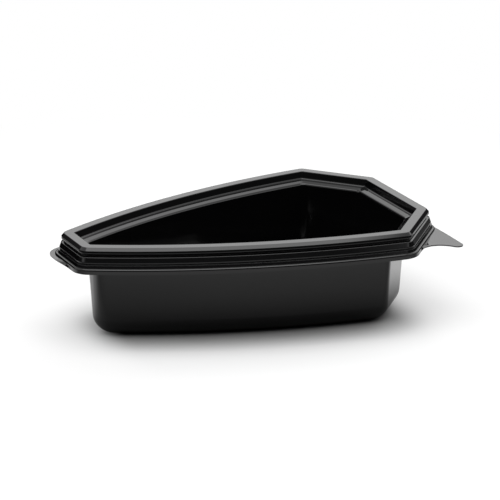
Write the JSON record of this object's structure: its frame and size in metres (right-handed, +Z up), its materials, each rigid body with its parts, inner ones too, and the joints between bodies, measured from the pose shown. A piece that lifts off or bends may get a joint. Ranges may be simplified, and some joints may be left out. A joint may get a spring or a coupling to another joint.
{
  "type": "pie slice container",
  "caption": "Wedge-shaped takeaway tray with bowed long sides, a stepped snap rim and a pull tab, open at the top for one slice of pie or cake.",
  "frame": {"origin": "centre of the bounding box in plan, on the underside of the floor", "axes": "+X runs from the narrow tip to the wide end, +Z is up out of the open top"},
  "size_m": [0.1694, 0.1128, 0.0448],
  "materials": {
    "black_plastic": "satin"
  },
  "bodies": {
    "root": {"tray": "black_plastic"}
  },
  "joints": []
}
